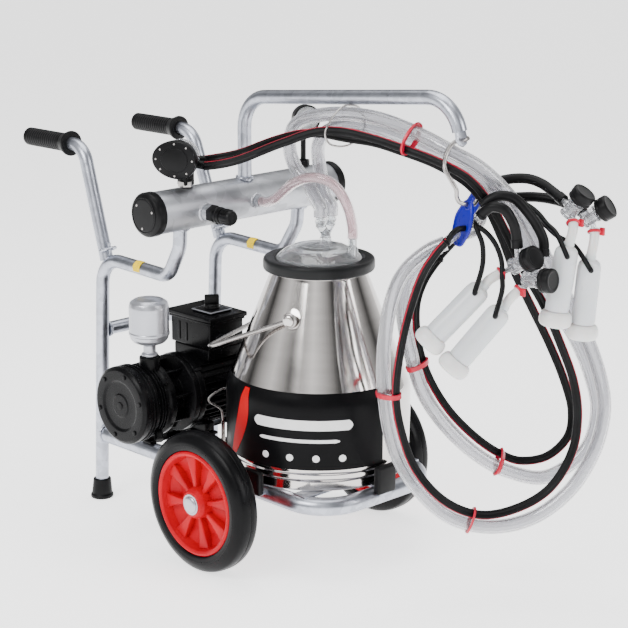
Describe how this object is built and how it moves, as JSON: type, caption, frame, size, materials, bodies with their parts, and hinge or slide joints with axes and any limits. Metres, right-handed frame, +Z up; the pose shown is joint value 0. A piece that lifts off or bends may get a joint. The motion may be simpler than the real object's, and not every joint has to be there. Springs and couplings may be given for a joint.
{
  "type": "milking machine",
  "caption": "Wheeled portable milking machine: tube cart with motor, vacuum pump and tank, a stainless milk bucket, and hanging clusters of teat cups on hoses.",
  "frame": {"origin": "on the floor, under the middle of the machine's length and width", "axes": "+X from the push handles towards the hanging clusters, +Y towards the side away from the pump cover, +Z up"},
  "size_m": [1.1629, 0.495, 0.8443],
  "materials": {
    "frame_steel": "bright galvanised tube",
    "tank_steel": "spangled galvanised steel",
    "polished_stainless": "mirror-bright stainless steel",
    "rotor_steel": "machined steel",
    "black_enamel": "glossy black enamel on steel",
    "cast_black": "glossy black paint on a rough casting",
    "black_plastic": "moulded black plastic, satin",
    "black_rubber": "satin black rubber",
    "grey_rubber": "dull dark grey rubber",
    "tyre": "black rubber tread",
    "red_plastic": "bright red moulded plastic",
    "blue_plastic": "deep blue moulded plastic",
    "needle_red": "red painted pointer",
    "clear_plastic": "clear rigid plastic",
    "clear_hose": "clear flexible hose",
    "pink_hose": "pink-tinted clear flexible hose",
    "milky_plastic": "milky translucent plastic",
    "white_rubber": "smooth white silicone rubber"
  },
  "bodies": {
    "cart": {"side_frame_near": "frame_steel", "leg_foot_near": "black_rubber", "handle_grip_near": "black_rubber", "tank_cap_near": "black_plastic", "side_frame_far": "frame_steel", "leg_foot_far": "black_rubber", "handle_grip_far": "black_rubber", "tank_cap_far": "black_plastic", "cross_tube": "frame_steel", "base_frame": "frame_steel", "arch_tube": "frame_steel", "vacuum_tank": "tank_steel", "pulsator_body": "black_plastic", "pulsator_cover": "black_plastic", "regulator_body": "black_plastic", "gauge_case": "black_plastic", "motor_mount": "black_enamel", "motor_housing": "black_enamel", "terminal_box": "black_enamel", "pump_body": "cast_black", "pump_cover": "cast_black", "silencer": "tank_steel", "milk_bucket": "polished_stainless", "lid_gasket": "grey_rubber", "lid_dome": "clear_plastic", "vacuum_hose": "pink_hose", "milk_hose_near": "clear_hose", "milk_hose_far": "clear_hose", "pulse_tube_near": "black_rubber", "pulse_tube_far": "black_rubber", "claw_near": "blue_plastic", "claw_far": "blue_plastic", "s_hook": "polished_stainless", "claw_tube_1": "black_rubber", "cup_shell_1": "milky_plastic", "cup_liner_1": "white_rubber", "claw_tube_2": "black_rubber", "cup_shell_2": "milky_plastic", "cup_liner_2": "white_rubber", "claw_tube_3": "black_rubber", "cup_shell_3": "milky_plastic", "cup_liner_3": "white_rubber", "claw_tube_4": "black_rubber", "cup_shell_4": "milky_plastic", "cup_liner_4": "white_rubber"},
    "wheel_near": {"wheel_rim_near": "red_plastic", "tyre_near": "tyre"},
    "wheel_far": {"wheel_rim_far": "red_plastic", "tyre_far": "tyre"},
    "rotor": {"motor_rotor": "rotor_steel", "pump_rotor": "rotor_steel"},
    "regulator": {"regulator_knob": "black_plastic"},
    "pointer": {"gauge_needle": "needle_red"},
    "switch": {"switch_knob": "black_plastic"},
    "bail": {"bail_handle": "polished_stainless"},
    "valve_1": {"valve_cap_1": "black_plastic"},
    "valve_2": {"valve_cap_2": "black_plastic"},
    "valve_3": {"valve_cap_3": "black_plastic"},
    "valve_4": {"valve_cap_4": "black_plastic"}
  },
  "joints": [
    {"name": "wheel_near_spin", "type": "hinge", "parent": "cart", "child": "wheel_near", "pos_m": [0.03272, -0.2205, 0.125], "axis": [0, 1, 0], "continuous": true},
    {"name": "wheel_far_spin", "type": "hinge", "parent": "cart", "child": "wheel_far", "pos_m": [0.03272, 0.2075, 0.125], "axis": [0, 1, 0], "continuous": true},
    {"name": "rotor_spin", "type": "hinge", "parent": "cart", "child": "rotor", "pos_m": [-0.17528, -0.0835, 0.252], "axis": [0, 1, 0], "continuous": true},
    {"name": "regulator_turn", "type": "hinge", "parent": "cart", "child": "regulator", "pos_m": [-0.02528, -0.1035, 0.599], "axis": [1, 0, 0], "range_deg": [-90, 90]},
    {"name": "pointer_turn", "type": "hinge", "parent": "cart", "child": "pointer", "pos_m": [-0.12028, 0.1745, 0.731], "axis": [0.8984, -0.4392, 0], "range_deg": [-240, 0], "stiffness_Nm_per_rad": 0.0005},
    {"name": "switch_turn", "type": "hinge", "parent": "cart", "child": "switch", "pos_m": [-0.16128, -0.0245, 0.4], "axis": [0, 0, 1], "range_deg": [0, 60]},
    {"name": "bail_swing", "type": "hinge", "parent": "cart", "child": "bail", "pos_m": [0.07672, 0.0165, 0.442], "axis": [-0.3641, 0.9313, 0], "range_deg": [0, 95]},
    {"name": "valve_1_press", "type": "slide", "parent": "cart", "child": "valve_1", "axis": [-0.8899, 0.0303, -0.4551], "range_m": [0, 0.003], "stiffness_N_per_m": 300},
    {"name": "valve_2_press", "type": "slide", "parent": "cart", "child": "valve_2", "axis": [-0.9868, -0.1246, -0.1039], "range_m": [0, 0.003], "stiffness_N_per_m": 300},
    {"name": "valve_3_press", "type": "slide", "parent": "cart", "child": "valve_3", "axis": [-0.5668, -0.1518, -0.8097], "range_m": [0, 0.003], "stiffness_N_per_m": 300},
    {"name": "valve_4_press", "type": "slide", "parent": "cart", "child": "valve_4", "axis": [-0.782, -0.2907, -0.5514], "range_m": [0, 0.003], "stiffness_N_per_m": 300}
  ]
}
